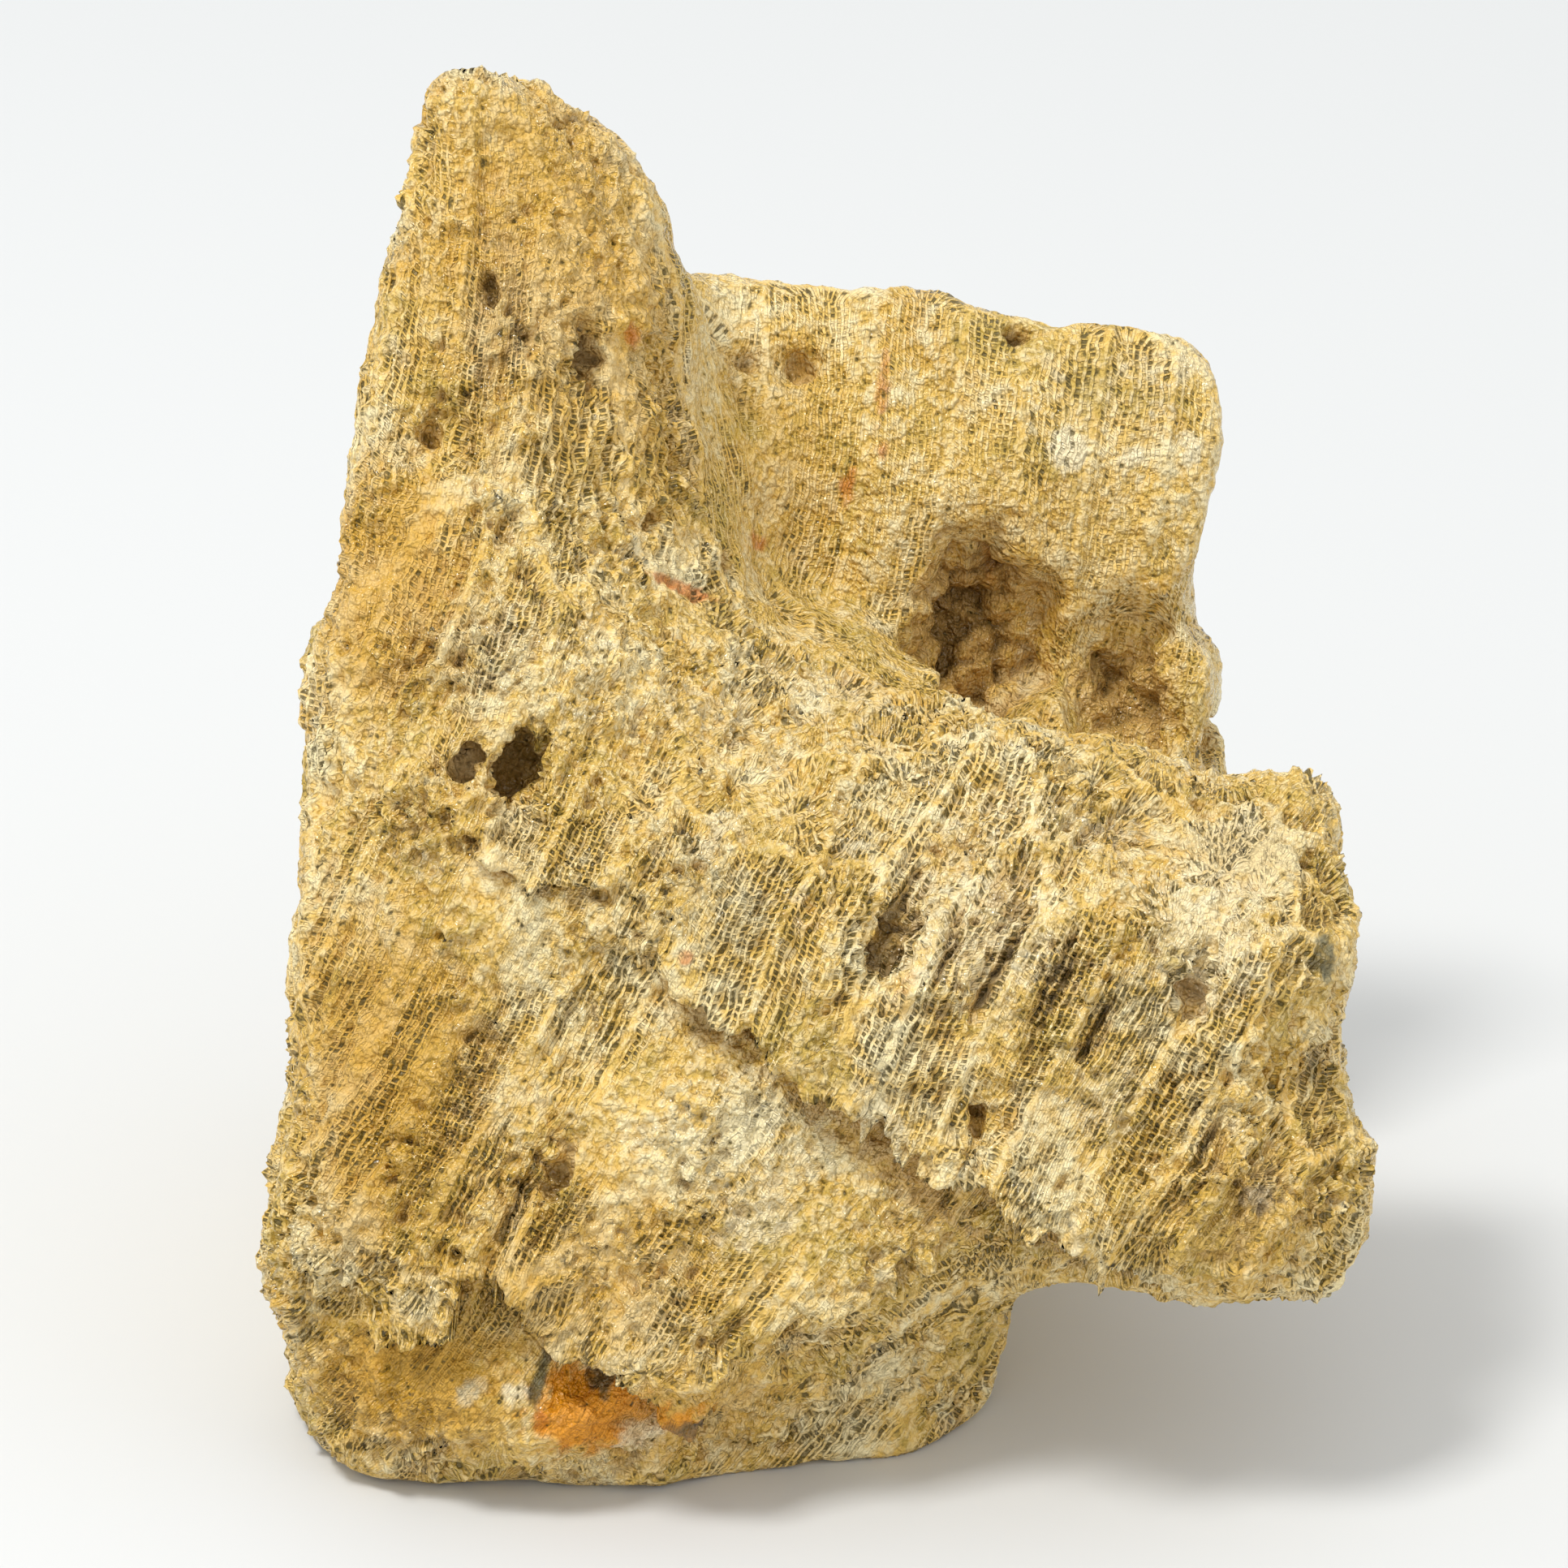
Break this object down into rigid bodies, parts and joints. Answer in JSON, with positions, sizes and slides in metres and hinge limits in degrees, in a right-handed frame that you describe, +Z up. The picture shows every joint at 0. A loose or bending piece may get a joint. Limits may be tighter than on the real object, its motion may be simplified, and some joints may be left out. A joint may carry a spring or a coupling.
{
  "type": "fossil coral",
  "caption": "Broken lump of fossil star coral with a leaning horn, a thick front ledge and a back wall behind a deep notch; rests on a flat base.",
  "frame": {"origin": "centre of the stone's footprint, at the flat base it rests on", "axes": "+Z up; the broken face with the ledge looks along -Y; +X runs from the horn's side to the ledge's free end"},
  "size_m": [0.0706, 0.0692, 0.0806],
  "materials": {
    "coral_limestone": "porous, dull"
  },
  "bodies": {
    "root": {"fossil_coral": "coral_limestone"}
  },
  "joints": []
}
